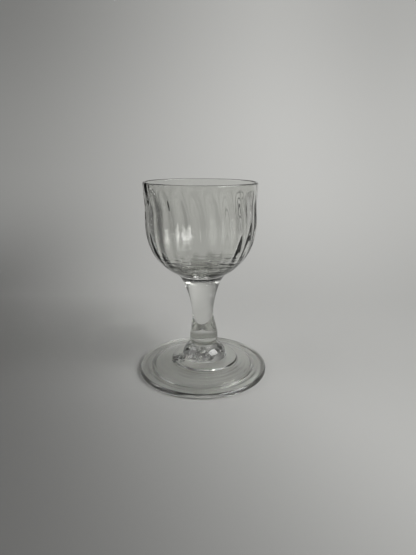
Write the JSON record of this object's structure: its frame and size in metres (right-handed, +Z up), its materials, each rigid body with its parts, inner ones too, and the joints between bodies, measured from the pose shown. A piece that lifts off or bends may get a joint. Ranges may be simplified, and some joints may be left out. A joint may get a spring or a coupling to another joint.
{
  "type": "stemmed dram glass",
  "caption": "Small hand-blown drinking glass with a round ribbed bowl, a waisted stem, a domed collar and a wide foot with a folded rim.",
  "frame": {"origin": "centre of the foot, on the surface it stands on", "axes": "+Z up along the axis of the glass, -Y towards the viewer of the picture, +X to the viewer's right"},
  "size_m": [0.07, 0.07, 0.1],
  "materials": {
    "foot_glass": "clear, faintly grey, tooled and fire polished, worn where it stands",
    "collar_glass": "clear, faintly grey, with seeds at the join",
    "stem_glass": "clear, faintly grey, drawn smooth",
    "bowl_glass": "clear, faintly grey, mould-ribbed outside, fire-polished lip"
  },
  "bodies": {
    "root": {"foot": "foot_glass", "collar": "collar_glass", "stem": "stem_glass", "bowl": "bowl_glass"}
  },
  "joints": []
}
